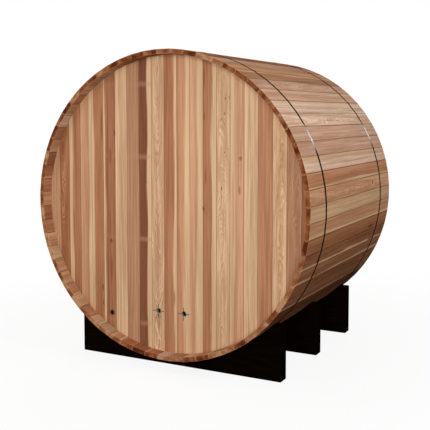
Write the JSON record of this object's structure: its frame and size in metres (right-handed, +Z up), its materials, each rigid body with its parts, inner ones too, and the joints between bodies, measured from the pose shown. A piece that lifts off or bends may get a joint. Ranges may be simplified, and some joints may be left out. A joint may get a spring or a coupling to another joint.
{
  "type": "barrel sauna",
  "caption": "Cedar barrel sauna of bead-and-cove staves on black saddle cradles, with steel bands, recessed board end walls, cable sleeves and a plain board door.",
  "frame": {"origin": "on level ground under the middle of the barrel", "axes": "+Z up, barrel along Y with its rear wall, the one in the picture, facing -Y, +X to the right as seen from the rear"},
  "size_m": [1.8024, 1.52, 1.8702],
  "materials": {
    "cedar_staves": "planed red cedar, unvarnished, mixed heartwood and sapwood",
    "cedar_boards": "planed red cedar, unvarnished, mixed heartwood and sapwood",
    "cedar_trim": "planed red cedar, unvarnished",
    "black_cradle": "softwood plank, stained black",
    "band_steel": "dark steel strap, polished enough to glint",
    "sleeve_steel": "plain steel tube",
    "hinge_steel": "brushed stainless",
    "grommet_rubber": "moulded black rubber"
  },
  "bodies": {
    "root": {"right_staves": "cedar_staves", "upper_right_staves": "cedar_staves", "roof_staves": "cedar_staves", "upper_left_staves": "cedar_staves", "left_staves": "cedar_staves", "lower_left_staves": "cedar_staves", "floor_staves": "cedar_staves", "lower_right_staves": "cedar_staves", "rear_wall": "cedar_boards", "cable_sleeves": "sleeve_steel", "cable_grommet": "grommet_rubber", "rear_cradle": "black_cradle", "middle_cradle": "black_cradle", "front_cradle": "black_cradle", "rear_band": "band_steel", "front_band": "band_steel", "front_wall_right": "cedar_boards", "front_wall_left": "cedar_boards", "front_wall_over_door": "cedar_boards", "front_wall_under_door": "cedar_boards", "right_door_jamb": "cedar_trim", "left_door_jamb": "cedar_trim", "door_head": "cedar_trim", "door_sill": "cedar_trim", "door_boards": "cedar_boards", "door_ledges": "cedar_trim", "door_hinges": "hinge_steel", "door_handle": "cedar_trim"}
  },
  "joints": []
}
